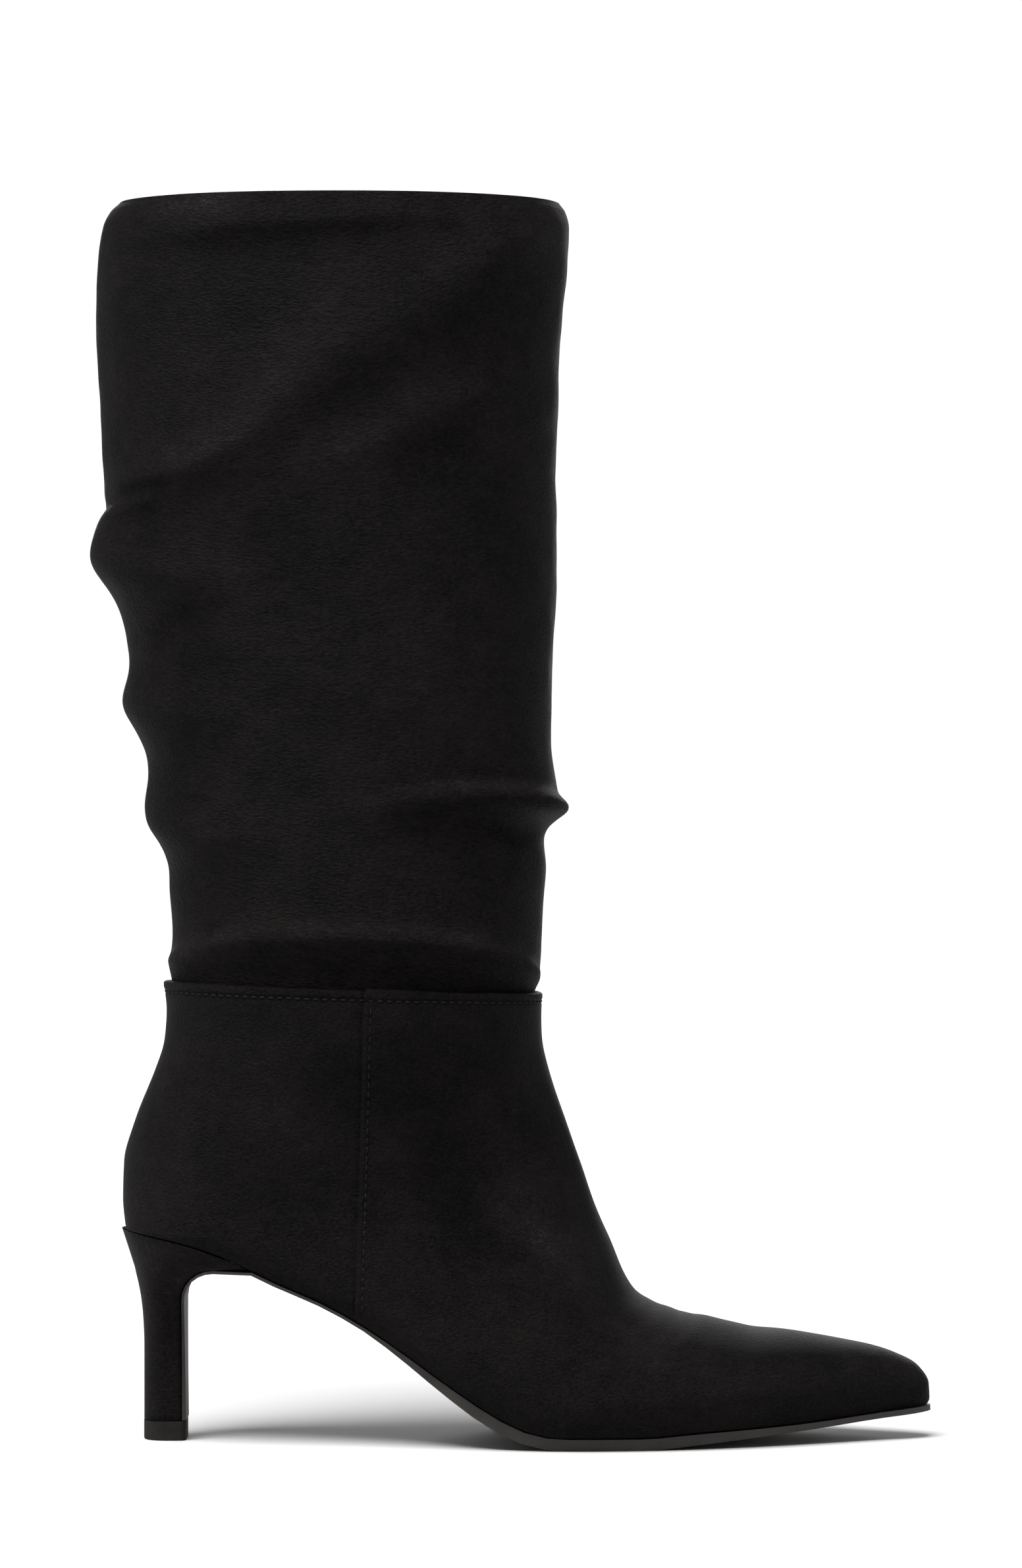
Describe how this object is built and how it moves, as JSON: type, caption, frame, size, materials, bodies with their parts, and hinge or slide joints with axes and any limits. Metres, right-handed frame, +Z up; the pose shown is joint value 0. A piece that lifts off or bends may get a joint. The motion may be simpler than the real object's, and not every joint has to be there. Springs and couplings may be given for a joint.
{
  "type": "slouch boot",
  "caption": "Mid calf slouch boot for the right foot with a pointed toe, a slim covered heel, a thin sole and a loose folded shaft.",
  "frame": {"origin": "centre of the boot's box, on the floor it stands on", "axes": "+X to the toe, +Y to the inner side of the foot, +Z up"},
  "size_m": [0.2602, 0.0972, 0.3818],
  "materials": {
    "suede": "black suede, short nap",
    "sole_rubber": "dark grey, satin",
    "lining": "black woven lining"
  },
  "bodies": {
    "root": {"upper": "suede", "shaft": "suede", "outsole": "sole_rubber", "heel": "suede", "top_piece": "sole_rubber", "insole": "lining"}
  },
  "joints": []
}
